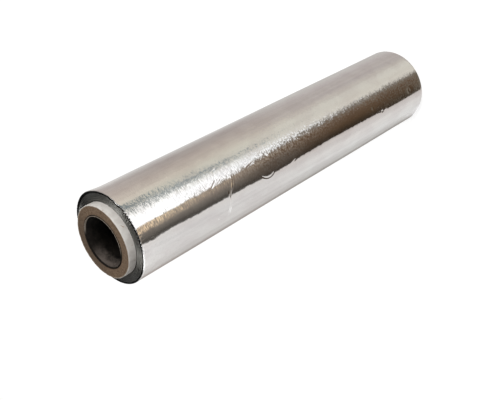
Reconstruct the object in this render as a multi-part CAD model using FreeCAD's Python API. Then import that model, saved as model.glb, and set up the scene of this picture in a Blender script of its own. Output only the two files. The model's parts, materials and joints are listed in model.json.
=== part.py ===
import FreeCAD, Part
import math
import os

# Aluminium foil roll, standing on one end. +Z is the roll's axis, z = 0 is the surface it stands on.
# Lengths are in millimetres and angles in degrees. An angle round the roll is counted from the front,
# -Y, towards +X.

# The wound foil: its width, and how thick the turns lie on the core
foil_width = 300.0
foil_build = 6.85
free_edge_step = 0.25
free_edge_angle = 150.0
rim_round = 0.6

# The board core and the white paper wrapped round it
core_outer_diameter = 47.8
bore_diameter = 33.6
wrap_thickness = 1.2
core_overhang = 5.5

# Foil is wound straight onto the wrap, and the wrap is glued to the board: both seats are tight
winding_seat_gap = 0.0
wrap_seat_gap = 0.0

# The spiral of turns that shows on each foil end, as one groove between bundles of turns
end_turns = 4
end_groove_share = 0.4
end_groove_depth = 0.25
end_groove_margin = 0.9

# Creases pressed into the outermost turns: half their width for each millimetre of depth
crease_slope = 1.6
crease_cutter_rise = 0.6

# Each crease is a run of places: angle round the roll, distance below the upper foil edge, depth
long_crease = [
    (2.0, 81.2, 0.05),
    (-8.0, 79.2, 0.25),
    (-16.5, 77.0, 0.35),
    (-24.5, 73.8, 0.45),
    (-33.0, 73.0, 0.35),
    (-42.0, 71.0, 0.30),
    (-49.0, 66.0, 0.25),
    (-45.0, 61.5, 0.05),
]
hooked_crease = [
    (-19.0, 105.0, 0.05),
    (-24.5, 107.0, 0.30),
    (-27.5, 112.0, 0.40),
    (-24.0, 117.0, 0.05),
]
slanting_crease = [
    (1.0, 101.5, 0.05),
    (-1.6, 96.0, 0.25),
    (-4.0, 90.0, 0.05),
]
forked_crease = [
    (9.0, 69.0, 0.05),
    (0.0, 66.0, 0.25),
    (-5.5, 60.5, 0.05),
]
short_crease = [
    (0.5, 72.5, 0.05),
    (-1.2, 69.0, 0.20),
    (-3.0, 65.5, 0.05),
]
creases = [long_crease, hooked_crease, slanting_crease, forked_crease, short_crease]

# What follows from those sizes
core_radius = core_outer_diameter / 2
bore_radius = bore_diameter / 2
winding_inner_radius = core_radius + winding_seat_gap
foil_radius = winding_inner_radius + foil_build
wrap_inner_radius = core_radius - wrap_thickness
board_radius = wrap_inner_radius - wrap_seat_gap
core_length = foil_width + 2 * core_overhang
foil_base = core_overhang
foil_top = core_overhang + foil_width

right_angle = 90
up = FreeCAD.Vector(0, 0, 1)


def direction(angle):
    """Unit vector straight out from the axis, at an angle round the roll."""
    turn = math.radians(angle)
    return FreeCAD.Vector(math.sin(turn), -math.cos(turn), 0)


def tube(outer_radius, inner_radius, length):
    """Plain tube standing on the surface."""
    return Part.makeCylinder(outer_radius, length).cut(Part.makeCylinder(inner_radius, length))


def spiral_edges(outer_radius, pitch, quarters, start_angle, inset=0.0):
    """Quarter arcs of a spiral that closes in by the pitch at each turn, kept a fixed inset inside it.

    The arcs' centres go round the corners of a small square, so that each arc starts in the direction
    in which the last one ends.
    """
    drop = pitch / 4
    first_corner = direction(start_angle + right_angle) + direction(start_angle + 2 * right_angle)
    centre = first_corner * (-drop / 2)
    edges = []
    for quarter in range(quarters):
        radius = outer_radius - inset - quarter * drop
        begin = start_angle + right_angle * quarter
        start = centre + direction(begin) * radius
        middle = centre + direction(begin + right_angle / 2) * radius
        end = centre + direction(begin + right_angle) * radius
        edges.append(Part.Arc(start, middle, end).toShape())
        centre = centre + direction(begin + right_angle) * drop
    return edges


def end_point(edge, last):
    """Where an arc begins or ends."""
    return edge.valueAt(edge.LastParameter if last else edge.FirstParameter)


def outer_outline():
    """The outermost turn, seen from above, with the step down from its free edge."""
    edges = spiral_edges(foil_radius, free_edge_step, 4, free_edge_angle)
    step = Part.LineSegment(end_point(edges[-1], True), end_point(edges[0], False)).toShape()
    return Part.Wire(edges + [step])


def groove_outline():
    """The groove between bundles of turns, seen from above. It fills the ring between its two margins."""
    start_radius = foil_radius - end_groove_margin
    room = start_radius - winding_inner_radius - end_groove_margin
    pitch = room / (end_turns + end_groove_share)
    width = end_groove_share * pitch
    quarters = 4 * end_turns
    outside = spiral_edges(start_radius, pitch, quarters, free_edge_angle)
    inside = spiral_edges(start_radius, pitch, quarters, free_edge_angle, width)
    inner_end = Part.LineSegment(end_point(outside[-1], True), end_point(inside[-1], True)).toShape()
    outer_end = Part.LineSegment(end_point(outside[0], False), end_point(inside[0], False)).toShape()
    return Part.Wire(outside + [inner_end] + inside[::-1] + [outer_end])


def rounded_barrel():
    """Full cylinder over the winding with both rims rounded, which trims the foil's edges."""
    barrel = Part.makeCylinder(foil_radius, foil_width, FreeCAD.Vector(0, 0, foil_base), up)
    rims = [edge for edge in barrel.Edges if edge.Closed]
    return barrel.makeFillet(rim_round, rims)


def crease_cutter(places):
    """Wedge that follows a crease over the outer turn, with its sharp edge at the bottom of the crease."""
    spots = [direction(angle) * foil_radius + up * (foil_top - drop) for angle, drop, depth in places]
    sections = []
    for number, (angle, drop, depth) in enumerate(places):
        before = spots[max(number - 1, 0)]
        after = spots[min(number + 1, len(spots) - 1)]
        outward = direction(angle)
        along = (after - before).normalize()
        sideways = outward.cross(along).normalize()
        spread = crease_slope * (depth + crease_cutter_rise)
        top = spots[number] + outward * crease_cutter_rise
        bottom = spots[number] - outward * depth
        sections.append(Part.makePolygon([top + sideways * spread, bottom, top - sideways * spread,
                                          top + sideways * spread]))
    return Part.makeLoft(sections, True, True)


def foil_winding():
    """All turns of foil as one body, with the spiral of turns on its ends and the creases on its side."""
    section = Part.Face(outer_outline()).translated(up * foil_base)
    body = section.extrude(up * foil_width).common(rounded_barrel())
    body = body.cut(Part.makeCylinder(winding_inner_radius, core_length))
    groove = Part.Face(groove_outline())
    for floor in (foil_base - end_groove_depth, foil_top - end_groove_depth):
        body = body.cut(groove.translated(up * floor).extrude(up * 2 * end_groove_depth))
    for places in creases:
        body = body.cut(crease_cutter(places))
    return body


def core_wrap():
    """White outer ply of the core, under the foil and showing past both of its ends."""
    return tube(core_radius, wrap_inner_radius, core_length)


def core_tube():
    """Brown board tube that the roll turns on."""
    return tube(board_radius, bore_radius, core_length)


def export(name, shape):
    """Write one piece under its own name."""
    shape.exportStep("parts/" + name + ".step")
    state = "valid" if shape.isValid() else "not valid"
    print(name, state, len(shape.Solids), "solid", round(shape.Volume / 1000, 2), "cm3")


os.makedirs("parts", exist_ok=True)
export("foil_winding", foil_winding())
export("core_wrap", core_wrap())
export("core_tube", core_tube())
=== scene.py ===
import json
import math

import bpy
import numpy as np
from mathutils import Matrix, Vector


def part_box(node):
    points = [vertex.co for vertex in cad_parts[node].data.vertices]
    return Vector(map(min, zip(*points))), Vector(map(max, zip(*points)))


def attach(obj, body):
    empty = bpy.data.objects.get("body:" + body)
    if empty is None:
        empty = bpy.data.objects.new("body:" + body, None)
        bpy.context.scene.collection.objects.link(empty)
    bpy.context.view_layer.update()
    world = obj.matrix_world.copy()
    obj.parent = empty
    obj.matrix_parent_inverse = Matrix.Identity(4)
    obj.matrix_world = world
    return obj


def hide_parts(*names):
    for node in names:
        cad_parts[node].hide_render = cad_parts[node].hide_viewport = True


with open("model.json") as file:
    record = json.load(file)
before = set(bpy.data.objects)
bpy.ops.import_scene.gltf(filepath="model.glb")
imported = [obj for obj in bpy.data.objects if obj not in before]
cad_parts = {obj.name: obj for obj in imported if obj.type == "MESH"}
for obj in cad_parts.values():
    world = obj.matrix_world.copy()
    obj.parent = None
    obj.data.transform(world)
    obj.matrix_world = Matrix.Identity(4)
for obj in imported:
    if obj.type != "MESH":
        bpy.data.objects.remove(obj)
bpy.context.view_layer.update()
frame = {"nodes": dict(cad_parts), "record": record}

# An angle round the roll is counted in degrees from the front, -Y, towards +X. Sizes are in metres,
# and mm turns a millimetre value into metres.
mm = 0.001

# Sizes taken from the frame
foil_low, foil_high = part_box("foil_winding")
core_low, core_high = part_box("core_wrap")
foil_base, foil_top = foil_low.z, foil_high.z
core_base, core_top = core_low.z, core_high.z
core_radius = core_high.x
board_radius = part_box("core_tube")[1].x
bore_mount = next(mount for mount in frame["record"]["mounts"] if mount["name"] == "bore")
bore_radius = bore_mount["dims"]["r_mm"] * mm
foil_radius = max(math.hypot(v.co.x, v.co.y) for v in frame["nodes"]["foil_winding"].data.vertices)

# The outer turn's free edge, at the back, and the rounding of the foil's rims
free_edge_step = 0.25 * mm
free_edge_angle = 150.0
rim_round = 0.6 * mm

# Camera: its place, its turn, dip and roll in degrees, its lens and sensor in millimetres, and the
# nearest distance that it sees
camera_place = Vector((0.0, -411.53 * mm, 531.02 * mm))
camera_turn = 3.122
camera_dip = 39.034
camera_roll = -120.352
camera_lens = 55.782
camera_sensor = 36.0
camera_near = 0.01


def add_object(name, data):
    """New object in the scene."""
    added = bpy.data.objects.new(name, data)
    bpy.context.scene.collection.objects.link(added)
    return added


def make_camera():
    """The photograph's view: the roll leans across the picture because the camera is rolled."""
    turn, dip = math.radians(camera_turn), math.radians(camera_dip)
    look = Vector((-math.sin(turn) * math.cos(dip), math.cos(turn) * math.cos(dip), -math.sin(dip)))
    camera = add_object("camera", bpy.data.cameras.new("camera"))
    camera.data.sensor_width = camera_sensor
    camera.data.lens = camera_lens
    camera.data.clip_start = camera_near
    level = look.to_track_quat("-Z", "Y").to_matrix()
    roll = Matrix.Rotation(math.radians(camera_roll), 3, "Z")
    camera.matrix_world = Matrix.Translation(camera_place) @ (level @ roll).to_4x4()
    bpy.context.scene.camera = camera


class Nodes:
    """Short way to add and join shader nodes in one tree."""

    def __init__(self, tree):
        self.tree = tree
        tree.nodes.clear()

    def add(self, kind, *inputs, **settings):
        """A node with its first inputs filled, by a value or by another node's socket."""
        node = self.tree.nodes.new(kind)
        for name, value in settings.items():
            setattr(node, name, value)
        for number, value in enumerate(inputs):
            self.put(node.inputs[number], value)
        return node

    def put(self, socket, value):
        """Fills one socket, unless the value is None."""
        if value is None:
            return
        if isinstance(value, bpy.types.NodeSocket):
            self.tree.links.new(value, socket)
        elif isinstance(value, bpy.types.Node):
            self.tree.links.new(value.outputs[0], socket)
        else:
            socket.default_value = value

    def math(self, operation, *values, clamp=False):
        """Result of one operation on numbers."""
        return self.add("ShaderNodeMath", *values, operation=operation, use_clamp=clamp).outputs[0]

    def times(self, first, second):
        """Product of two numbers."""
        return self.math("MULTIPLY", first, second)

    def vector(self, operation, *values):
        """Result of one operation on vectors."""
        node = self.add("ShaderNodeVectorMath", operation=operation)
        places = [0, 1] if operation != "SCALE" else [0, 3]
        for place, value in zip(places, values):
            self.put(node.inputs[place], value)
        return node.outputs["Value"] if operation in ("LENGTH", "DOT_PRODUCT") else node.outputs[0]

    def step(self, value, start, end, low=0.0, high=1.0):
        """Smooth step from low to high as the value goes from start to end."""
        node = self.add("ShaderNodeMapRange", value, start, end, low, high)
        node.interpolation_type = "SMOOTHSTEP"
        return node.outputs[0]

    def span(self, value, start, end, low=0.0, high=1.0):
        """Straight change from low to high as the value goes from start to end."""
        return self.add("ShaderNodeMapRange", value, start, end, low, high).outputs[0]

    def ramp(self, angle, tones):
        """Colour by angle, from tones listed as angle, red, green and blue."""
        first, last = tones[0][0], tones[-1][0]
        node = self.add("ShaderNodeValToRGB", self.span(angle, first, last))
        stops = node.color_ramp.elements
        while len(stops) < len(tones):
            stops.new(0.5)
        for stop, (place, *tone) in zip(stops, tones):
            stop.position = (place - first) / (last - first)
            stop.color = (*tone, 1.0)
        return node.outputs[0]

    def mix(self, factor, first, second, blend="MIX"):
        """Blend of two colours."""
        node = self.add("ShaderNodeMix", data_type="RGBA", blend_type=blend)
        self.put(node.inputs["Factor"], factor)
        self.put(node.inputs[6], first)
        self.put(node.inputs[7], second)
        return node.outputs[2]

    def noise(self, place, scale, detail=2.0, roughness=0.5):
        """Random tone between 0 and 1, with so many cells for each unit of the place."""
        node = self.add("ShaderNodeTexNoise")
        inputs = {"Vector": place, "Scale": scale, "Detail": detail, "Roughness": roughness}
        for name, value in inputs.items():
            self.put(node.inputs[name], value)
        return node.outputs[0]


def grey(value):
    """Neutral colour of one tone."""
    return (value, value, value, 1.0)


def window(n, value, edges):
    """1 inside two edges and 0 outside. Each edge says where it begins and is complete."""
    return n.times(n.step(value, *edges[0]), n.step(value, *edges[1]))


def shaded(n, color, share, shades):
    """Colour times a grey between two shades."""
    return n.mix(1.0, color, n.mix(share, grey(shades[0]), grey(shades[1])), "MULTIPLY")


def angle_of(n, place):
    """Angle round the roll in degrees, from -180 to 180."""
    parts = n.add("ShaderNodeSeparateXYZ", place)
    turn = n.math("ARCTAN2", parts.outputs[0], n.times(parts.outputs[1], -1.0))
    return n.times(turn, 180 / math.pi)


def radius_of(n, place):
    """Distance from the roll's axis."""
    return n.vector("LENGTH", n.vector("MULTIPLY", place, (1.0, 1.0, 0.0)))


def side_of(n, place, angle):
    """How far out towards one side of the roll a place lies."""
    turn = math.radians(angle)
    return n.vector("DOT_PRODUCT", place, (math.sin(turn), -math.cos(turn), 0.0))


def new_material(name):
    """A material and its empty node tree."""
    material = bpy.data.materials.new(name)
    material.use_nodes = True
    return material, Nodes(material.node_tree)


# Light from all round on what is not glossy
even_light = (0.425, 0.42, 0.415, 1.0)


def make_world():
    """White to the eye, even light on the object, and the studio's panels in what is glossy."""
    world = bpy.data.worlds.new("studio")
    bpy.context.scene.world = world
    world.use_nodes = True
    n = Nodes(world.node_tree)
    ray = n.add("ShaderNodeTexCoord").outputs["Generated"]
    path = n.add("ShaderNodeLightPath")
    soft = n.add("ShaderNodeBackground", even_light, 1.0)
    shiny = n.add("ShaderNodeBackground", studio_color(n, ray), 1.0)
    white = n.add("ShaderNodeBackground", grey(1.0), 1.0)
    lit = n.add("ShaderNodeMixShader", path.outputs["Is Glossy Ray"], soft, shiny)
    seen = n.add("ShaderNodeMixShader", path.outputs["Is Camera Ray"], lit, white)
    n.add("ShaderNodeOutputWorld", seen)


# The studio, which only glossy surfaces see. A direction has an angle round the roll and a height, which is
# 0 for level and -1 for straight down. The camera sees heights of about -0.50 in the roll's upper end,
# -0.70 in its middle and -0.81 in its lower end. Those above -0.42 show where it is seen from the side.

# Tones of the pale wall by angle. The far tones show near the roll's lower end, and the high tones where
# the roll is seen from the side.
wall_tones = [
    (-180, 0.72, 0.72, 0.72), (-168, 0.80, 0.79, 0.78), (-157, 0.34, 0.30, 0.28),
    (-149, 0.34, 0.30, 0.28), (-138, 0.54, 0.52, 0.50), (-104, 0.665, 0.645, 0.63),
    (-66, 0.665, 0.645, 0.635), (-52, 0.665, 0.635, 0.615), (0, 0.60, 0.59, 0.54),
    (24, 0.63, 0.61, 0.55), (50, 0.62, 0.585, 0.50), (66, 0.57, 0.51, 0.44),
    (90, 0.445, 0.385, 0.345), (124, 0.41, 0.365, 0.345), (138, 0.52, 0.49, 0.47),
    (152, 0.60, 0.575, 0.555), (166, 0.73, 0.72, 0.71), (180, 0.74, 0.74, 0.74),
]
far_wall_tones = [
    (-180, 0.72, 0.72, 0.72), (-168, 0.76, 0.75, 0.74), (-157, 0.32, 0.30, 0.28),
    (-149, 0.32, 0.30, 0.28), (-136, 0.54, 0.53, 0.51), (-104, 0.71, 0.70, 0.685),
    (-83, 0.71, 0.685, 0.665), (-62, 0.63, 0.585, 0.565), (-52, 0.57, 0.52, 0.49),
    (21, 0.65, 0.61, 0.54), (46, 0.62, 0.59, 0.53), (60, 0.53, 0.485, 0.44),
    (75, 0.465, 0.42, 0.40), (94, 0.475, 0.43, 0.405), (114, 0.50, 0.455, 0.44),
    (135, 0.55, 0.525, 0.50), (152, 0.565, 0.54, 0.515), (180, 0.66, 0.66, 0.66),
]
high_wall_tones = [
    (-180, 0.56, 0.56, 0.56), (-166, 0.66, 0.655, 0.65), (-156, 0.24, 0.22, 0.205),
    (-146, 0.20, 0.185, 0.175), (-134, 0.46, 0.445, 0.43), (-116, 0.62, 0.605, 0.59),
    (-98, 0.70, 0.685, 0.67), (-84, 0.66, 0.64, 0.625), (-72, 0.76, 0.745, 0.73),
    (-56, 0.80, 0.785, 0.77), (-52, 0.72, 0.70, 0.68), (24, 0.66, 0.64, 0.58),
    (50, 0.62, 0.585, 0.50), (66, 0.55, 0.50, 0.44), (90, 0.37, 0.33, 0.305),
    (118, 0.27, 0.25, 0.24), (132, 0.48, 0.455, 0.435), (148, 0.66, 0.645, 0.63),
    (166, 0.72, 0.71, 0.70), (180, 0.56, 0.56, 0.56),
]

# Tones of the gap in the wall by angle, near the roll's upper end and near its lower end
upper_gap_tones = [
    (-50, 0.085, 0.080, 0.072), (-43, 0.072, 0.064, 0.056), (-37, 0.120, 0.107, 0.095),
    (-29, 0.180, 0.158, 0.136), (-22, 0.260, 0.222, 0.188), (-14, 0.345, 0.290, 0.235),
    (0, 0.385, 0.340, 0.290),
]
lower_gap_tones = [
    (-50, 0.026, 0.017, 0.010), (-43, 0.040, 0.026, 0.015), (-29, 0.085, 0.050, 0.027),
    (-12, 0.115, 0.070, 0.042), (-4, 0.155, 0.112, 0.080), (5, 0.200, 0.180, 0.155),
    (15, 0.310, 0.295, 0.265),
]

# Heights between which the wall's far and high tones and the gap's lower tones come in
far_wall_band = (-0.62, -0.73)
high_wall_band = (-0.42, -0.34)
lower_gap_band = (-0.59, -0.74)

# Tones of the whole gap further down and up: the heights between which each comes in, and the tone
gap_tones = [
    ((-0.794, -0.814), (0.17, 0.145, 0.115, 1.0)),
    ((-0.48, -0.40), (0.44, 0.38, 0.31, 1.0)),
    ((-0.40, -0.33), (0.14, 0.128, 0.118, 1.0)),
]

# A golden strip in the gap, with its edges as angles and as heights
golden_angles = ((-28.0, -21.0), (-5.0, -9.0))
golden_heights = ((-0.55, -0.50), (-0.36, -0.45))
golden_tone = (0.90, 0.69, 0.46, 1.0)

# The gap's edges. Each is the sum of angles that change between two heights: first and last height, first
# and last angle. The right edge is soft, by an angle that changes in the same way.
gap_left_edge = [
    (-0.715, -0.745, 0.0, -2.3),
    (-0.785, -0.81, 0.0, -3.4),
    (-0.56, -0.52, -49.0, -50.2),
    (-0.508, -0.498, 0.0, 3.0),
]
gap_left_softness = 0.5
gap_right_edge = [
    (-0.60, -0.745, -8.0, 12.5),
    (-0.755, -0.81, 0.0, -5.0),
]
gap_right_softness = (-0.62, -0.76, 2.0, 8.5)

# Parts of the wall in a tone of their own: the angles and the heights between which each comes in, and
# its tone. The dim back lies on both sides of the angle 180.
lit_side = ((-51.0, -60.0), (-0.49, -0.40), 1.1)
lit_corner = ((-100.0, -128.0), (-0.788, -0.803), 1.0)
dim_back = ((130.0, 155.0), (-0.30, -0.10), 0.30)

# Heights between which the wall becomes brighter, near the roll's upper rim, and the shades
rim_light_band = (-0.54, -0.505)
rim_light_shades = (1.0, 1.12)

# Clouds on the wall, and streaks over wall and gap by angle and height: cells, the noise values between
# which the shade changes, and the shades
wall_cloud_cells = 9.0
wall_cloud_step = (0.35, 0.65)
wall_cloud_shades = (0.95, 1.04)
streak_cells = (0.3, 7.0)
streak_step = (0.3, 0.7)
streak_shades = (0.97, 1.03)

# The cool panel: its middle, an angle that changes between two heights, how far to each side it begins
# and is complete, its foot and its tone
cool_middle = (-0.50, -0.58, 46.5, 30.0)
cool_reach = (9.5, 4.5)
cool_foot = (-0.65, -0.60)
cool_tone = (0.20, 0.235, 0.245, 1.0)

# The lamp panel, between the gap and the cool panel. Its end, the angle from which it is full, its
# strength, its dimmer head and the shade of its slats each change between two heights.
panel_end = (-0.60, -0.70, 42.0, 22.0)
panel_full = (-0.60, -0.70, 12.0, 9.0)
panel_strength = (-0.72, -0.54, 0.85, 1.45)
panel_head = (-0.44, -0.36, 1.0, 0.62)
panel_foot = (-0.74, -0.66)
panel_overlap = 3.0
slat_shade = (-0.52, -0.62, 0.8, 0.5)
slat_edge = (-0.9, 0.3)
slat_pitch = 0.062

# The heights between which the ceiling comes in above, and the shade below
ceiling_band = (0.25, 0.45)
low_band = (-0.84, -0.93)
low_shade = (0.72, 0.71, 0.70, 1.0)


def changing(n, height, changes):
    """Sum of angles that each change between two heights."""
    total = n.span(height, *changes[0])
    for change in changes[1:]:
        total = n.math("ADD", total, n.span(height, *change))
    return total


def toned(n, color, angle, height, part):
    """Colour with one part of the wall in its own tone."""
    angles, heights, tone = part
    inside = n.times(n.step(angle, *angles), n.step(height, *heights))
    return n.mix(inside, color, grey(tone))


def wall_color(n, ray, angle, height):
    """The wall with its clouds, its tones further down and up, and its lit and dim parts."""
    clouds = n.step(n.noise(ray, wall_cloud_cells, 2.0), *wall_cloud_step)
    far = n.step(height, *far_wall_band)
    wall = n.mix(far, n.ramp(angle, wall_tones), n.ramp(angle, far_wall_tones))
    wall = shaded(n, wall, clouds, wall_cloud_shades)
    wall = toned(n, wall, angle, height, lit_side)
    wall = shaded(n, wall, n.step(height, *rim_light_band), rim_light_shades)
    wall = toned(n, wall, angle, height, lit_corner)
    high_wall = shaded(n, n.ramp(angle, high_wall_tones), clouds, wall_cloud_shades)
    wall = n.mix(n.step(height, *high_wall_band), wall, high_wall)
    return toned(n, wall, n.math("ABSOLUTE", angle), height, dim_back)


def gap_color(n, angle, height):
    """The dark gap, which is browner near the roll's lower end, with its golden strip."""
    lower = n.step(height, *lower_gap_band)
    gap = n.mix(lower, n.ramp(angle, upper_gap_tones), n.ramp(angle, lower_gap_tones))
    for band, tone in gap_tones:
        gap = n.mix(n.step(height, *band), gap, tone)
    golden = n.times(window(n, angle, golden_angles), window(n, height, golden_heights))
    return n.mix(golden, gap, golden_tone)


def gap_masks(n, angle, height):
    """Where the gap is, and where its right edge is passed."""
    right = changing(n, height, gap_right_edge)
    softness = n.span(height, *gap_right_softness)
    past_right = n.step(angle, n.math("SUBTRACT", right, softness), n.math("ADD", right, softness))
    from_left = n.math("SUBTRACT", angle, changing(n, height, gap_left_edge))
    past_left = n.step(from_left, -gap_left_softness, gap_left_softness)
    return n.math("SUBTRACT", past_left, past_right, clamp=True), past_right


def with_streaks(n, color, angle, height):
    """Colour with faint streaks."""
    across = n.times(angle, streak_cells[0])
    place = n.add("ShaderNodeCombineXYZ", across, n.times(height, streak_cells[1]), 0.0)
    return shaded(n, color, n.step(n.noise(place, 1.0, 2.0), *streak_step), streak_shades)


def with_cool_panel(n, color, angle, height):
    """Colour with the cool panel."""
    aside = n.math("ABSOLUTE", n.math("SUBTRACT", angle, n.span(height, *cool_middle)))
    cool = n.times(n.step(aside, *cool_reach), n.step(height, *cool_foot))
    return n.mix(cool, color, cool_tone)


def with_lamp_panel(n, color, angle, height, past_gap):
    """Colour with the white lamp panel and its slats."""
    beside_cool = n.math("SUBTRACT", n.span(height, *cool_middle), panel_overlap)
    end = n.math("MINIMUM", beside_cool, n.span(height, *panel_end))
    lamp = n.times(past_gap, n.span(angle, end, n.span(height, *panel_full)))
    lamp = n.times(lamp, n.step(height, *panel_foot))
    slats = n.math("SINE", n.times(height, 2 * math.pi / slat_pitch))
    between = n.step(slats, *slat_edge, n.span(height, *slat_shade), 1.0)
    strength = n.times(n.span(height, *panel_strength), between)
    strength = n.times(strength, n.step(height, *panel_head))
    return n.mix(lamp, color, n.add("ShaderNodeCombineXYZ", strength, strength, strength))


def studio_color(n, ray):
    """Colour of the studio by direction: the wall and the dark gap in it, the lamp panel past the gap and
    the cool panel beside the lamp. The lower the direction, the further the gap reaches."""
    angle = angle_of(n, ray)
    height = n.add("ShaderNodeSeparateXYZ", ray).outputs[2]
    in_gap, past_gap = gap_masks(n, angle, height)
    color = n.mix(in_gap, wall_color(n, ray, angle, height), gap_color(n, angle, height))
    color = with_streaks(n, color, angle, height)
    color = with_cool_panel(n, color, angle, height)
    color = with_lamp_panel(n, color, angle, height, past_gap)
    color = n.mix(n.step(height, *ceiling_band), color, ceiling(n, ray))
    return n.mix(n.step(height, *low_band), color, n.mix(1.0, color, low_shade, "MULTIPLY"))


# The dark ceiling and its lamps, as directions from the roll and strengths, with the cosines of the angles
# at which they begin and are full
ceiling_tone = 0.05
ceiling_lamps = [((0.44, 0.00, 0.90), 3.2), ((-0.71, 0.17, 0.68), 4.6)]
ceiling_lamp_edge = (0.92, 0.98)


def ceiling(n, ray):
    """Dim ceiling with its lamps, which the foil's end faces reflect."""
    color = grey(ceiling_tone)
    for direction, strength in ceiling_lamps:
        near = n.vector("DOT_PRODUCT", ray, tuple(Vector(direction).normalized()))
        color = n.mix(n.step(near, *ceiling_lamp_edge), color, grey(strength))
    return color


# The soft lamp: its angle round the roll and above the floor, its distance from the roll's upper end,
# its width and its power in watts
lamp_angle = 35.0
lamp_rise = 25.0
lamp_distance = 1.25
lamp_width = 0.45
lamp_power = 9.5


def make_light():
    """One low soft lamp at the front right, which gives the core its shading."""
    lamp = bpy.data.lights.new("soft_lamp", "AREA")
    lamp.shape = "DISK"
    lamp.size = lamp_width
    lamp.energy = lamp_power
    holder = add_object("soft_lamp", lamp)
    turn, rise = math.radians(lamp_angle), math.radians(lamp_rise)
    away = Vector((math.sin(turn) * math.cos(rise), -math.cos(turn) * math.cos(rise), math.sin(rise)))
    holder.location = Vector((0, 0, core_top)) + lamp_distance * away
    holder.rotation_mode = "QUATERNION"
    holder.rotation_quaternion = (-away).to_track_quat("-Z", "Y")
    holder.visible_glossy = False
    holder.visible_camera = False


# The floor: half its width, its tone as the roll sees it, and for the eye the tone that takes the shadow
# and the white on top of it
floor_half = 6.0
floor_tone = 0.93
floor_shade_tone = 0.42
floor_white = 0.83


def make_floor():
    """White floor that keeps the roll's shadow. Glossy surfaces see the studio instead of it."""
    mesh = bpy.data.meshes.new("floor")
    corners = [(x * floor_half, y * floor_half, 0) for x, y in ((-1, -1), (1, -1), (1, 1), (-1, 1))]
    mesh.from_pydata(corners, [], [(0, 1, 2, 3)])
    floor = add_object("floor", mesh)
    material, n = new_material("floor")
    paint = n.add("ShaderNodeBsdfDiffuse", grey(floor_tone))
    shade = n.add("ShaderNodeBsdfDiffuse", grey(floor_shade_tone))
    lift = n.add("ShaderNodeEmission", grey(1.0), floor_white)
    seen = n.add("ShaderNodeAddShader", shade, lift)
    path = n.add("ShaderNodeLightPath")
    both = n.add("ShaderNodeMixShader", path.outputs["Is Camera Ray"], paint, seen)
    n.add("ShaderNodeOutputMaterial", both)
    mesh.materials.append(material)
    floor.visible_glossy = False


def ring_piece(name, points, row_materials, materials):
    """Closed mesh from rows of points that go round the axis. Row after row climbs the outside, crosses
    the top, goes down the inside and comes back under."""
    rows, columns = points.shape[:2]
    mesh = bpy.data.meshes.new(name)
    index = np.arange(rows * columns).reshape(rows, columns)
    right = np.roll(index, -1, axis=1)
    above = np.roll(index, -1, axis=0)
    above_right = np.roll(right, -1, axis=0)
    quads = np.stack([index, right, above_right, above], axis=-1).reshape(-1, 4)
    mesh.from_pydata(points.reshape(-1, 3).tolist(), [], quads.tolist())
    mesh.polygons.foreach_set("use_smooth", np.ones(len(quads), dtype=bool))
    mesh.polygons.foreach_set("material_index", np.repeat(np.array(row_materials), columns))
    for material in materials:
        mesh.materials.append(material)
    mesh.update()
    return add_object(name, mesh)


def on_roll(angle, radius, height):
    """Points from arrays of angles, radii and heights."""
    turn = np.radians(angle)
    return np.stack([radius * np.sin(turn), -radius * np.cos(turn), height + 0 * radius], axis=-1)


def waves(form, angle, height):
    """Smooth random relief of a form: its depth, its seed, its number of sines, and the least and most of
    their waves round the roll and of their length along it."""
    depth, seed, count, across, along = form
    random = np.random.RandomState(seed)
    total = np.zeros(np.broadcast(angle, height).shape)
    for _ in range(count):
        turns = random.randint(across[0], across[1] + 1)
        length = random.uniform(*along) * random.choice([-1, 1])
        phase = random.uniform(0, 2 * math.pi)
        total = total + np.sin(np.radians(angle) * turns + 2 * math.pi * height / length + phase)
    return depth * (total / math.sqrt(count))


# Creases in the outer turns, as runs of places: angle, and millimetres below the upper foil edge
long_crease = [
    (2.0, 81.2), (-8.0, 79.2), (-16.5, 77.0), (-22.0, 74.8), (-29.0, 74.0), (-36.0, 73.0),
    (-42.7, 72.0), (-46.2, 70.4), (-47.5, 66.8), (-44.5, 62.3), (-40.0, 60.2),
]
bent_crease = [(-36.5, 73.4), (-42.7, 71.9), (-47.0, 69.4), (-49.0, 65.6), (-47.0, 62.0), (-43.0, 60.6)]
hooked_crease = [
    (-21.5, 103.6), (-24.0, 104.9), (-26.8, 107.3), (-28.2, 110.1), (-27.5, 113.3), (-23.5, 117.2),
]
slanting_crease = [(-2.8, 92.5), (-0.4, 97.2), (0.8, 102.2)]
forked_crease = [(9.6, 67.7), (5.2, 67.1), (1.2, 66.6), (-1.0, 65.0)]
spike_crease = [(0.8, 66.6), (-1.8, 64.2), (-5.6, 60.8)]
short_crease = [(0.6, 73.0), (-1.2, 70.2), (-3.4, 67.2)]
second_short_crease = [(2.4, 71.0), (0.9, 69.3), (-0.8, 67.2)]
upper_crease = [(14.4, 73.2), (12.9, 70.6), (11.6, 67.6)]
side_crease = [(-14.6, 81.3), (-17.2, 82.9), (-19.4, 84.2)]
notch_crease = [(-27.0, 132.0), (-25.1, 134.4), (-21.5, 139.6)]
shallow_creases = [
    [(-36.6, 18.7), (-41.7, 28.2), (-46.5, 37.0), (-50.5, 44.5)],
    [(-38.1, 30.8), (-40.3, 38.3), (-41.7, 43.4)],
    [(-30.5, 5.0), (-32.9, 12.7), (-34.6, 20.5)],
    [(-33.0, 42.0), (-38.0, 52.0), (-40.5, 63.0)],
    [(-44.0, 9.0), (-47.0, 20.0), (-49.0, 30.0)],
]

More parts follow.
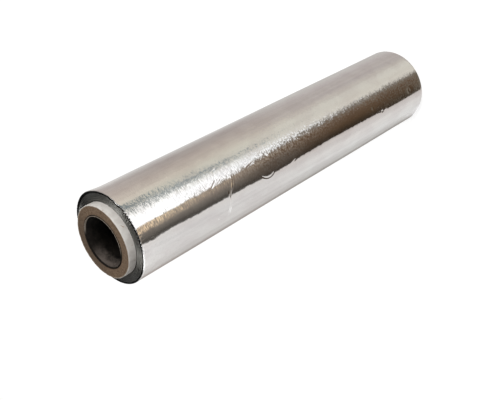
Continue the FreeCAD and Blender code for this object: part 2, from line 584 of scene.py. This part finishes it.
# With each run go its width and depth in millimetres and its ridge as a share of the depth, on the side
# towards the upper end if it is positive. A negative depth stands out.
creases = [
    (long_crease, 0.38, 0.065, 1.2),
    (bent_crease, 0.45, 0.100, 0.8),
    (hooked_crease, 0.50, 0.105, 0.5),
    (slanting_crease, 0.42, -0.050, 0.4),
    (forked_crease, 0.38, 0.016, 0.7),
    (spike_crease, 0.50, 0.050, 0.5),
    (short_crease, 0.35, 0.028, 0.6),
    (second_short_crease, 0.35, 0.024, 0.6),
    (upper_crease, 0.45, 0.035, 0.8),
    (side_crease, 0.35, 0.020, 1.0),
    (notch_crease, 0.45, -0.055, 0.6),
]
shallow_form = (0.5, 0.030, 1.0)
creases += [(places, *shallow_form) for places in shallow_creases]

# How many points a crease's curve has for each place, how many of the fades at its ends would fit into its
# length, and how many widths from its middle the ridge stands
crease_steps = 5
crease_fade = 6.0
ridge_offset = 1.5

# Hollows in the outer turns: angle, distance below the upper foil edge, width round the roll, width
# along it and depth, all but the angle in millimetres
hollows = [
    (-17.0, 120.0, 5.5, 26.0, 0.335),
    (-17.0, 160.0, 5.5, 14.0, 0.08),
    (-17.0, 262.0, 5.5, 26.0, 0.20),
    (-29.0, 22.0, 4.5, 9.0, 0.09),
    (-18.0, 8.0, 3.0, 4.0, 0.035),
    (-28.5, 36.0, 3.0, 5.0, 0.03),
    (-23.0, 73.6, 2.0, 0.50, 0.11),
    (-20.6, 72.2, 1.5, 0.45, -0.040),
    (-21.0, 75.0, 1.5, 0.45, -0.040),
]

# Specks pressed into the foil: angle, distance below the upper foil edge, width and depth in millimetres
specks = [
    (-15.7, 232.0, 1.2, 0.07), (-26.0, 243.0, 0.8, 0.14), (-25.0, 247.5, 0.7, -0.11),
    (-24.8, 240.0, 0.7, 0.08), (-25.2, 236.5, 0.6, -0.07),
    (-21.1, 274.0, 0.6, 0.04), (-18.0, 282.5, 2.1, 0.24), (-18.0, 282.5, 1.3, -0.26),
    (-21.9, 244.0, 0.5, 0.03),
    (-9.5, 1.2, 0.5, 0.08), (-13.4, 1.4, 0.5, 0.08), (-17.6, 2.4, 0.5, 0.06), (-21.9, 8.8, 0.6, 0.05),
]

# Waves of the outer turn. The fine ones grow towards the upper rim, from so far below it, over this length
# and from this share.
long_waves = (0.05 * mm, 3, 5, (1, 3), (0.14, 0.40))
short_waves = (0.006 * mm, 7, 8, (3, 9), (0.03, 0.12))
fine_waves = (0.004 * mm, 8, 14, (18, 44), (0.012, 0.05))
fine_start = 60 * mm
fine_growth = 40 * mm
fine_share = 0.3

# The outer turns flare out a little at the upper rim, at one side: how far, how far down and where
rim_flare = 0.9 * mm
flare_reach = 6.0 * mm
flare_angle = 103.0
flare_spread = 30.0


def smooth_run(spots):
    """Points of a smooth curve through the spots of a crease."""
    spots = np.array(spots)
    padded = np.vstack([2 * spots[0] - spots[1], spots, 2 * spots[-1] - spots[-2]])
    points = []
    for a, b, c, d in zip(padded, padded[1:], padded[2:], padded[3:]):
        for t in np.linspace(0, 1, crease_steps, endpoint=False):
            points.append(0.5 * (2 * b + (c - a) * t + (2 * a - 5 * b + 4 * c - d) * t**2
                                 + (3 * b - a - 3 * c + d) * t**3))
    return points + [spots[-1]]


def crease_relief(crease, angle, height):
    """A sharp little valley along a crease, with a ridge beside it. Both fade out at its ends."""
    places, width, depth, ridge_share = crease
    width, depth = width * mm, depth * mm
    arc = np.radians(angle) * foil_radius
    shape = np.broadcast(arc, height).shape
    nearest = np.full(shape, np.inf)
    relief = np.zeros(shape)
    spots = smooth_run([(math.radians(a) * foil_radius, foil_top - drop * mm) for a, drop in places])
    for number, ((x0, z0), (x1, z1)) in enumerate(zip(spots, spots[1:])):
        run = math.hypot(x1 - x0, z1 - z0)
        share = np.clip(((arc - x0) * (x1 - x0) + (height - z0) * (z1 - z0)) / run**2, 0, 1)
        aside = ((arc - x0) * (z1 - z0) - (height - z0) * (x1 - x0)) / run
        distance = np.hypot(arc - x0 - share * (x1 - x0), height - z0 - share * (z1 - z0))
        along = (number + share) / (len(spots) - 1)
        fade = np.clip(crease_fade * np.minimum(along, 1 - along), 0, 1)
        valley = np.exp(-((distance / width) ** 2))
        ridge = np.exp(-(((distance - ridge_offset * width) / width) ** 2)) * (aside * ridge_share > 0)
        closer = distance < nearest
        relief = np.where(closer, depth * fade * (abs(ridge_share) * ridge - valley), relief)
        nearest = np.minimum(nearest, distance)
    return relief


def spiral_radius(angle):
    """Radius of the outermost turn, which falls by the free edge's step in one turn round."""
    share = ((angle - free_edge_angle) % 360) / 360
    return foil_radius - free_edge_step * share


def foil_relief(angle, height):
    """How far the foil stands out from its plain spiral."""
    arc = np.radians(angle) * foil_radius
    total = waves(long_waves, angle, height) + waves(short_waves, angle, height)
    total = total + rim_flare * np.exp(-(((foil_top - height) / flare_reach) ** 2)
                                       - ((angle - flare_angle) / flare_spread) ** 2)
    upper = np.clip((height - (foil_top - fine_start)) / fine_growth, 0, 1)
    total = total + (fine_share + upper) * waves(fine_waves, angle, height)
    for place, drop, across, along, depth in hollows:
        away = (arc - math.radians(place) * foil_radius) / (across * mm)
        down = (height - foil_top + drop * mm) / (along * mm)
        total = total - depth * mm * np.exp(-(away**2) - down**2)
    for place, drop, width, depth in specks:
        away = arc - math.radians(place) * foil_radius
        down = height - foil_top + drop * mm
        total = total - depth * mm * np.exp(-(away**2 + down**2) / (width * mm) ** 2)
    for crease in creases:
        total = total + crease_relief(crease, angle, height)
    return total


def spaced(zones):
    """Values from zone to zone, each zone with its own spacing: (start, spacing), ..., (end, None)."""
    values = []
    for (start, spacing), (end, _) in zip(zones, zones[1:]):
        steps = max(1, round((end - start) / spacing))
        values += list(np.linspace(start, end, steps, endpoint=False))
    return np.array(values)


# The foil's mesh: angles, and heights between its rims, with the spacing from there on, finest at the
# creases and the free edge, and its rows round each rim and on each end
side_low, side_high = foil_base + rim_round, foil_top - rim_round
foil_angle_zones = [(-60, 0.6), (20, 3.2), (96, 1.6), (149.6, 0.4), (150.4, 3.2), (300, None)]
foil_height_zones = [
    (side_low, 2.6 * mm), (20 * mm, 0.6 * mm), (36 * mm, 2.6 * mm), (56 * mm, 0.6 * mm),
    (64 * mm, 2.0 * mm), (70 * mm, 0.6 * mm), (77 * mm, 2.6 * mm), (162 * mm, 1.2 * mm),
    (186 * mm, 0.45 * mm), (217 * mm, 1.2 * mm), (222 * mm, 0.27 * mm), (247 * mm, 1.6 * mm),
    (285 * mm, 0.65 * mm), (side_high, None),
]
rim_rows = 6
upper_end_rows = 40
lower_end_rows = 20

# How far round its bend, in radians, the rim still shows the foil's bright side
rim_side_bend = 0.8


def make_foil(side, edges):
    """The wound foil: its creased side, its rounded rims and the spiral of turns on both ends."""
    angles = spaced(foil_angle_zones)
    lift = rim_lift(angles)
    bends = np.radians(np.linspace(0, 90, rim_rows))
    rim_kinds = [0 if bend < rim_side_bend else 1 for bend in bends]
    upper_shares = np.linspace(0, 1, upper_end_rows)[1:]
    lower_shares = np.linspace(1, 0, lower_end_rows)[:-1]
    rows = [on_roll(angles, spiral_radius(angles) + foil_relief(angles, height), height)
            for height in spaced(foil_height_zones)]
    kinds = [0] * len(rows) + rim_kinds
    rows += [rim_row(angles, bend, side_high, 1, lift) for bend in bends]
    rows += [end_row(angles, share, foil_top, 1, lift) for share in upper_shares]
    rows += [end_row(angles, share, foil_base, -1, 0) for share in lower_shares]
    kinds += [1] * (len(rows) - len(kinds)) + rim_kinds[:0:-1]
    rows += [rim_row(angles, bend, side_low, -1, 0) for bend in bends[:0:-1]]
    foil = ring_piece("foil", np.array(rows), kinds, [side, edges])
    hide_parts("foil_winding")
    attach(foil, "root")


def rim_row(angles, bend, height, way, lift):
    """Points round a rim at one bend, where way is 1 for the upper rim and -1 for the lower."""
    radius = spiral_radius(angles) + foil_relief(angles, height) - rim_round * (1 - math.cos(bend))
    return on_roll(angles, radius, height + way * rim_round * math.sin(bend) + lift)


def end_row(angles, share, height, way, lift):
    """Points on a foil end, at a share of the way in from the rim. The rim's lift fades out inwards."""
    radius = spiral_radius(angles) - rim_round
    radius = radius + share * (core_radius - radius)
    return on_roll(angles, radius, height + way * end_relief(angles, radius) + lift * (1 - share) ** 3)


# The upper rim's teeth and the deepest of them, and how its back and its front are lifted: the middle
# angle, the spread, and the rise and the teeth in millimetres
rim_teeth = (1.0, 51, 10, (60, 130), (0.5, 0.9))
deepest_tooth = -1.2
back_angle, back_spread = 128, 26
back_rise, back_teeth = 0.60, 0.15
front_angle, front_spread = 22, 30
front_teeth = 0.42


def rim_lift(angle):
    """The outer turns' cut edge is pinched into small teeth, and stands up a little at the back."""
    teeth = waves(rim_teeth, angle, 0.0)
    back = np.exp(-(((angle - back_angle) / back_spread) ** 2))
    front = np.exp(-(((angle - front_angle) / front_spread) ** 2))
    front_lift = front * front_teeth * np.maximum(teeth, deepest_tooth)
    return mm * (back * (back_rise + back_teeth * teeth) + front_lift)


# The bundles of turns on the foil's ends: how far they stand out and in, and their pitch
bundle_depth = 0.2 * mm
bundle_pitch = 1.15 * mm


def end_relief(angle, radius):
    """Height of the turns' edges: a spiral of bundles that stand a little in or out."""
    phase = (foil_radius - radius) / bundle_pitch - (angle - free_edge_angle) / 360
    return -bundle_depth * (0.5 + 0.5 * np.sin(2 * math.pi * phase)) * (radius < foil_radius - rim_round)


# The paper ply: the rounding of its cut edges, nearly to a half circle, its waves, which on its side grow
# over a short reach where it stands clear of the foil, and the columns, heights and rows of its mesh
paper_edge_round = 0.25 * mm
paper_edge_bulge = 0.999
paper_top_waves = (0.10 * mm, 21, 8, (5, 40), (0.5, 0.9))
paper_low_waves = (0.05 * mm, 22, 8, (5, 40), (0.5, 0.9))
paper_side_waves = (0.05 * mm, 23, 8, (3, 24), (0.010, 0.05))
paper_clear_reach = 2 * mm
paper_columns = 300
paper_height_zones = [
    (core_base + 0.5 * mm, 1 * mm), (foil_base + mm, 20 * mm),
    (foil_top - mm, 0.5 * mm), (core_top - 0.5 * mm, None),
]
paper_edge_rows = 6


def make_paper(material):
    """White outer ply of the core, with a soft cut edge at both ends."""
    angles = np.linspace(0, 360, paper_columns, endpoint=False)
    rows = [on_roll(angles, core_radius + paper_relief(angles, height), height)
            for height in spaced(paper_height_zones)]
    top_wave = waves(paper_top_waves, angles, 0.0)
    low_wave = waves(paper_low_waves, angles, 0.0)
    shares = np.linspace(0, 1, paper_edge_rows)
    for share in shares:
        radius, round_off = paper_edge(share)
        out = paper_relief(angles, core_top) * (1 - share)
        rows.append(on_roll(angles, radius + out, core_top - round_off + np.minimum(top_wave, 0)))
    rows.append(on_roll(angles, board_radius + 0 * angles, 0.5 * (core_base + core_top)))
    for share in shares[::-1]:
        radius, round_off = paper_edge(share)
        rows.append(on_roll(angles, radius + 0 * angles, core_base + round_off + np.maximum(low_wave, 0)))
    paper = ring_piece("core_paper", np.array(rows), [0] * len(rows), [material])
    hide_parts("core_wrap")
    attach(paper, "root")


def paper_edge(share):
    """Radius at a share of the way in over the paper's cut edge, and how far it is rounded off."""
    radius = core_radius - share * (core_radius - board_radius)
    return radius, paper_edge_round * (1 - math.sqrt(1 - (2 * share - 1) ** 2 * paper_edge_bulge))


def paper_relief(angle, height):
    """Slight unevenness of the paper where it stands clear of the foil."""
    clear = np.clip(np.maximum(height - foil_top, foil_base - height) / paper_clear_reach, 0, 1)
    return clear * waves(paper_side_waves, angle, height)


# The board's cut ends: their plies, their roughness, which changes on the way in, and the frayed lip of
# the bore's liner with a gap round it. The upper end's waves come first.
ply_count = 9
ply_depth = 0.05 * mm
rough_waves = [(0.03 * mm, seed, 10, (6, 60), (0.5, 0.9)) for seed in (31, 32)]
rough_drift = 0.08
fray_waves = [(1.0, seed, 12, (8, 70), (0.5, 0.9)) for seed in (41, 42)]
fray_share = 0.4
fray_limit = 0.8
lip_width = 0.35 * mm
lip_rise = 0.25 * mm
gap_width = 0.5 * mm
gap_depth = 0.5 * mm

# The spiral seam in the bore, and the step beside it where the liner laps over itself
seam_turns = 4
seam_angle = -106.0
seam_width = 0.7 * mm
seam_depth = 0.35 * mm
lap_depth = 0.12 * mm
lap_reach = 12 * mm

# The board's mesh: columns, closest at the seam, shares of the way in over the end with their spacing, the
# rows of the outside and of the bore, and how far from the ends they stop
board_angles = np.concatenate([np.linspace(-6, 6, 25), np.linspace(8, 352, 173)]) + seam_angle
board_face_zones = [(0, 0.045), (0.8, 0.011), (1.0, None)]
board_side_rows = 12
bore_rows = 150
row_inset = mm


def make_board(end_face, bore_wall):
    """Brown board tube: a cut end with its plies, and a bore with the winding's spiral seam."""
    low, high = core_base + row_inset, core_top - row_inset
    face = np.append(spaced(board_face_zones), 1.0)
    rows = [on_roll(board_angles, board_radius + 0 * board_angles, height)
            for height in np.linspace(low, high, board_side_rows)]
    rows += [board_end_row(share, 0, core_top, 1, lip_rise) for share in face]
    kinds = [0] * len(rows) + [1] * bore_rows + [0] * len(face)
    for height in np.linspace(high, low, bore_rows):
        turned = board_angles - 360.0 * seam_turns * (high - height) / (high - low)
        rows.append(on_roll(turned, bore_radius + seam_relief(board_angles), height))
    rows += [board_end_row(share, 1, core_base, -1, 0.0) for share in face[::-1]]
    board = ring_piece("core_board", np.array(rows), kinds, [end_face, bore_wall])
    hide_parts("core_tube")
    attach(board, "root")


def seam_relief(angle):
    """Depth of the spiral seam between the turns of the core's inner ply."""
    aside = (angle - seam_angle) * math.radians(1) * bore_radius
    groove = np.exp(-((aside / (0.5 * seam_width)) ** 4))
    lap = lap_depth * np.clip(1 - aside / lap_reach, 0, 1) * (aside > 0)
    return seam_depth * groove - lap


def board_end_row(share, end, height, way, rise):
    """Points on a cut end at a share of the way in: fine plies, and at the bore the frayed lip of its liner
    with a gap round it. The lip rises only at the upper end, since the roll stands on the lower one."""
    radius = board_radius - share * (board_radius - bore_radius)
    from_bore = radius - bore_radius
    depth = from_bore / (board_radius - bore_radius)
    ply = -ply_depth * (0.5 + 0.5 * math.cos(2 * math.pi * ply_count * depth))
    rough = waves(rough_waves[end], board_angles, rough_drift * depth)
    fray = np.minimum(waves(fray_waves[end], board_angles, 0.0), fray_limit)
    lip = np.exp(-((from_bore / lip_width) ** 4)) * rise * (1 + fray_share * fray)
    gap = np.exp(-(((from_bore - lip_width - 0.5 * gap_width) / (0.5 * gap_width)) ** 4)) * gap_depth
    relief = np.minimum(ply + rough, 0) + lip - gap
    return on_roll(board_angles, radius + 0 * board_angles, height + way * relief)


# Rolling lines of the foil: cells a metre across x, y and z, and how far they lean the surface up and
# down. Between two heights the long strokes give way downwards to short grains.
stroke_cells = (480.0, 480.0, 2200.0)
stroke_lean = 0.30
grain_cells = (800.0, 800.0, 880.0)
grain_lean = 0.26
grain_band = (235 * mm, 185 * mm)

# The lines are strong on the front right of the roll and faint elsewhere. There other grains, in shifted
# cells, also turn the surface round the roll, more and more downwards. Ripples turn it everywhere.
front_right = ((-15.0, -4.0), (48.0, 14.0))
faint_share = 0.35
grain_turn = 0.26
grain_turn_band = (235 * mm, 110 * mm)
grain_shift = (40.0, 0.0, 0.0)
ripple_cells = (220.0, 220.0, 320.0)
ripple_turn = 0.04

# Faint random clouds in the foil's tone, a painted reflection for the patchy sheen of its crinkles: cells a
# metre, where the tone changes, and the tones
cloud_cells = (90.0, 90.0, 55.0)
cloud_step = (0.36, 0.62)
patchy_reflection_tones = ((0.905, 0.892, 0.892, 1.0), (0.955, 0.957, 0.952, 1.0))

# Roughness of the foil's side and of its cut edges, and how strongly each is combed
side_roughness, side_combing = 0.10, 0.7
edge_roughness, edge_combing = 0.42, 0.85


def about_zero(n, place, cells, size, shift=(0.0, 0.0, 0.0), detail=2.0, roughness=0.6):
    """Random value about zero by place, with so many cells a metre, which can be shifted."""
    in_cells = n.vector("ADD", n.vector("MULTIPLY", place, cells), shift)
    return n.times(n.math("SUBTRACT", n.noise(in_cells, 1.0, detail, roughness), 0.5), size)


def foil_lean(n, place, height, front):
    """How far the rolling lines lean the foil's surface up or down."""
    stroke = about_zero(n, place, stroke_cells, stroke_lean)
    grain = about_zero(n, place, grain_cells, grain_lean)
    lean = n.add("ShaderNodeMix", n.step(height, *grain_band), None, stroke, grain).outputs[0]
    return n.times(lean, n.span(front, 0.0, 1.0, faint_share, 1.0))


def foil_turn(n, place, height, front):
    """How far ripples and grains turn the foil's surface round the roll."""
    grain = about_zero(n, place, grain_cells, grain_turn, grain_shift)
    grain = n.times(grain, n.times(front, n.step(height, *grain_turn_band)))
    ripple = about_zero(n, place, ripple_cells, ripple_turn, detail=1.0, roughness=0.5)
    return n.math("ADD", ripple, grain)


def combed_metal(n, color, roughness, combing):
    """Metal whose reflections are combed round the roll's axis."""
    shader = n.add("ShaderNodeBsdfPrincipled")
    n.put(shader.inputs["Base Color"], color)
    settings = {"Metallic": 1.0, "Roughness": roughness, "Anisotropic": combing, "Anisotropic Rotation": 0.25}
    for name, value in settings.items():
        shader.inputs[name].default_value = value
    n.put(shader.inputs["Tangent"], n.add("ShaderNodeTangent", direction_type="RADIAL", axis="Z"))
    return shader


def foil_side_material():
    """Bright rolled foil. Its fine lines run round the roll and comb the reflections into strokes."""
    material, n = new_material("foil_side")
    place = n.add("ShaderNodeTexCoord").outputs["Object"]
    height = n.add("ShaderNodeSeparateXYZ", place).outputs[2]
    front = window(n, angle_of(n, place), front_right)
    normal = n.add("ShaderNodeNewGeometry").outputs["Normal"]
    around = n.vector("CROSS_PRODUCT", (0.0, 0.0, 1.0), normal)
    turned = n.vector("ADD", normal, n.vector("SCALE", around, foil_turn(n, place, height, front)))
    upwards = n.add("ShaderNodeCombineXYZ", 0.0, 0.0, foil_lean(n, place, height, front))
    tilted = n.vector("ADD", turned, upwards)
    # Painted reflection: clouds in the tone stand in for the patchy sheen of crinkles
    clouds = n.noise(n.vector("MULTIPLY", place, cloud_cells), 1.0, 2.0)
    color = n.mix(n.step(clouds, *cloud_step), *patchy_reflection_tones)
    shader = combed_metal(n, color, side_roughness, side_combing)
    n.put(shader.inputs["Normal"], n.vector("NORMALIZE", tilted))
    n.add("ShaderNodeOutputMaterial", shader)
    return material


def rings(n, place, wander_cells, wander, ring_cells, detail):
    """Radius that wanders from place to place, and random rings by that radius."""
    radius = n.math("MULTIPLY_ADD", n.noise(place, wander_cells, 2.0), wander, radius_of(n, place))
    across = n.add("ShaderNodeCombineXYZ", n.times(radius, ring_cells), 0.0, 0.0)
    return radius, n.noise(across, 1.0, detail)


# The foil's ends: the rings of the turns, as cells and size of their wandering, their cells and their
# detail, their share in the tone beside that of patches, the tones, and the ragged edge of the painted shade
# by the rim
turn_rings = (90.0, 0.5 * mm, 3000.0, 3.0)
ring_share = 0.6
patch_cells = 60.0
turn_step = (0.34, 0.66)
turn_tones = ((0.13, 0.125, 0.11, 1.0), (0.38, 0.38, 0.365, 1.0))
ragged_shade_cells, ragged_shade_reach = 900.0, 0.7 * mm

# Painted black shade in the gaps beside the rim and beside the core, where the turns hide each other: where
# each begins and is complete
rim_shade_radii = (foil_radius - 0.95 * mm, foil_radius - 0.65 * mm)
core_shade_radii = (core_radius + 0.85 * mm, core_radius + 0.45 * mm)
end_shade_tone = (0.008, 0.007, 0.006, 1.0)


def foil_edges_material():
    """Edges of the stacked turns: dark combed metal, with painted black shade in the gaps beside the rim and
    the core.
    """
    material, n = new_material("foil_edges")
    place = n.add("ShaderNodeTexCoord").outputs["Object"]
    radius, lines = rings(n, place, *turn_rings)
    patches = n.noise(place, patch_cells, 2.0)
    tone = n.math("ADD", n.times(lines, ring_share), n.times(patches, 1 - ring_share))
    color = n.mix(n.step(tone, *turn_step), *turn_tones)
    # Painted shade: black beside the rim, with a ragged edge, and beside the core
    ragged_shade = n.times(n.noise(place, ragged_shade_cells, 1.0), ragged_shade_reach)
    rim_shade = n.step(n.math("ADD", radius, ragged_shade), *rim_shade_radii)
    gap_shades = n.math("MAXIMUM", rim_shade, n.step(radius, *core_shade_radii))
    shader = combed_metal(n, n.mix(gap_shades, color, end_shade_tone), edge_roughness, edge_combing)
    n.add("ShaderNodeOutputMaterial", shader)
    return material


# Matt surfaces: their weak gloss, how strongly their fibres show as bumps, and for each the fibres in cells
# a metre, how far they stand out, and the roughness
dull_gloss = 0.2
fibre_strength = 0.6
paper_surface = (1800.0, 0.05 * mm, 0.85)
board_surface = (2200.0, 0.06 * mm, 0.9)
bore_surface = (900.0, 0.05 * mm, 0.9)


def dull_material(name, make_color, fibre_cells, fibre_depth, roughness):
    """Matt fibrous surface whose colour comes from a function of its nodes and its place."""
    material, n = new_material(name)
    place = n.add("ShaderNodeTexCoord").outputs["Object"]
    shader = n.add("ShaderNodeBsdfPrincipled")
    n.put(shader.inputs["Base Color"], make_color(n, place))
    shader.inputs["Roughness"].default_value = roughness
    shader.inputs["Specular IOR Level"].default_value = dull_gloss
    bump = n.add("ShaderNodeBump")
    bump.inputs["Distance"].default_value = fibre_depth
    bump.inputs["Strength"].default_value = fibre_strength
    n.put(bump.inputs["Height"], n.noise(place, fibre_cells, 4.0, 0.6))
    n.put(shader.inputs["Normal"], bump.outputs[0])
    n.add("ShaderNodeOutputMaterial", shader)
    return material


# White paper: its clouds, its brown specks, and the radii and the tone of the painted shade on its cut edge
paper_cloud_cells = 250.0
paper_cloud_step = (0.3, 0.7)
paper_tones = ((0.59, 0.56, 0.525, 1.0), (0.68, 0.655, 0.62, 1.0))
paper_speck_cells = 700.0
paper_speck_step = (0.80, 0.84)
paper_speck_tone = (0.38, 0.28, 0.20, 1.0)
paper_edge_shade_radii = (core_radius - 0.25 * mm, core_radius - 0.6 * mm)
paper_edge_shade_tone = (0.26, 0.19, 0.13, 1.0)


def paper_color(n, place):
    """White paper with faint clouds, a few brown specks of scrap fibre and painted shade, dark brown, on its
    cut edge.
    """
    clouds = n.noise(place, paper_cloud_cells, 3.0)
    base = n.mix(n.step(clouds, *paper_cloud_step), *paper_tones)
    specks = n.noise(place, paper_speck_cells, 0.0)
    base = n.mix(n.step(specks, *paper_speck_step), base, paper_speck_tone)
    # Painted shade: the cut edge is painted dark brown
    return n.mix(n.step(radius_of(n, place), *paper_edge_shade_radii), base, paper_edge_shade_tone)


# Angles of the side where the board's end is darker, of the side from which painted light falls into the
# bore, and of the lip's painted highlight
darker_side = 172.0
bore_lit_side = 248.0
lip_lit_side = 50.0

# The board's end: the rings of its plies, their share in the tone beside that of flecks, and the tones
ply_rings = (120.0, 0.8 * mm, 2600.0, 2.0)
ply_share = 0.55
fleck_cells = 3000.0
fleck_stretch = (0.25, 0.25, 1.0)
board_step = (0.32, 0.68)
board_tones = ((0.130, 0.086, 0.055, 1.0), (0.265, 0.188, 0.128, 1.0))

# Painted shade darkens it near the bore and in the gap round the lip; it is darker on one side; the lip is
# pale fibre with a painted highlight on one side and painted black shade on the other: the radii or distances
# at which each begins and is complete, its strength and its tone
bore_edge_shade_radii = (bore_radius + 1.6 * mm, bore_radius + 0.6 * mm)
bore_edge_shade_strength = 0.6
bore_edge_shade_tone = (0.070, 0.048, 0.034, 1.0)
darker_side_distances = (0.0, 20 * mm)
darker_side_strength = 0.55
darker_side_tone = (0.085, 0.062, 0.045, 1.0)
lip_gap_shade_radii = (bore_radius + lip_width + gap_width, bore_radius + lip_width + 0.6 * gap_width)
lip_gap_shade_strength = 0.92
lip_gap_shade_tone = (0.010, 0.008, 0.006, 1.0)
lip_radii = (bore_radius + lip_width, bore_radius + 0.6 * lip_width)
lip_lit_distances = (-3 * mm, 4 * mm)
lip_shade_and_lit_tones = ((0.012, 0.010, 0.008, 1.0), (0.34, 0.29, 0.24, 1.0))


def board_end_color(n, place):
    """Brown board cut across: fine rings of its plies, flecks, painted shade near the bore and round the
    frayed liner's lip, and a painted highlight on the lip.
    """
    radius = radius_of(n, place)
    plies = rings(n, place, *ply_rings)[1]
    flecks = n.noise(n.vector("MULTIPLY", place, fleck_stretch), fleck_cells, 2.0)
    tone = n.math("ADD", n.times(plies, ply_share), n.times(flecks, 1 - ply_share))
    base = n.mix(n.step(tone, *board_step), *board_tones)
    # Painted shade: darker towards the bore's mouth
    bore_edge_shade = n.times(n.step(radius, *bore_edge_shade_radii), bore_edge_shade_strength)
    base = n.mix(bore_edge_shade, base, bore_edge_shade_tone)
    # Darker towards one side
    on_darker_side = n.times(n.step(side_of(n, place, darker_side), *darker_side_distances), darker_side_strength)
    base = n.mix(on_darker_side, base, darker_side_tone)
    # Painted shade: nearly black in the gap round the lip
    in_gap = n.times(n.step(radius, *lip_gap_shade_radii), lip_gap_shade_strength)
    base = n.mix(in_gap, base, lip_gap_shade_tone)
    # Pale frayed lip with a painted highlight on one side, painted black shade on the other
    lip_color = n.mix(n.step(side_of(n, place, lip_lit_side), *lip_lit_distances), *lip_shade_and_lit_tones)
    return n.mix(n.step(radius, *lip_radii), base, lip_color)


# The bore's liner: blotches, tones painted nearly black as shade and paler as painted light, and painted
# light at each mouth, which begins raggedly, is complete so far from the mouth, and fades out away from its
# side
blotch_cells = 240.0
blotch_step = (0.3, 0.7)
bore_shade_tones = ((0.004, 0.0035, 0.003, 1.0), (0.012, 0.010, 0.008, 1.0))
bore_lit_tones = ((0.085, 0.070, 0.060, 1.0), (0.150, 0.126, 0.110, 1.0))
bore_lit_ragged = 8 * mm
bore_lit_from, bore_lit_full = 11 * mm, 2 * mm
bore_lit_distances = (4 * mm, 15 * mm, 0.10, 1.0)


def bore_color(n, place):
    """Dark grey-brown liner of the bore, blotched, painted nearly black as shade, with painted light on one
    side near both mouths.
    """
    clouds = n.noise(place, blotch_cells, 4.0, 0.7)
    height = n.add("ShaderNodeSeparateXYZ", place).outputs[2]
    middle = 0.5 * (core_base + core_top)
    mouth = core_top - middle
    from_middle = n.math("ABSOLUTE", n.math("SUBTRACT", height, middle))
    # Painted light near both mouths, on one side
    reach = n.math("MULTIPLY_ADD", n.math("SUBTRACT", clouds, 0.5), bore_lit_ragged, from_middle)
    lit_mouth = n.step(reach, mouth - bore_lit_from, mouth - bore_lit_full)
    lit_mouth = n.times(lit_mouth, n.step(side_of(n, place, bore_lit_side), *bore_lit_distances))
    blotches = n.step(clouds, *blotch_step)
    # Painted shade deep in the bore, painted light near the mouths
    return n.mix(lit_mouth, n.mix(blotches, *bore_shade_tones), n.mix(blotches, *bore_lit_tones))


bpy.context.scene.view_settings.view_transform = "Standard"
make_camera()
make_world()
make_light()
make_floor()
make_foil(foil_side_material(), foil_edges_material())
make_paper(dull_material("white_paper", paper_color, *paper_surface))
make_board(dull_material("board_end", board_end_color, *board_surface),
           dull_material("bore_liner", bore_color, *bore_surface))
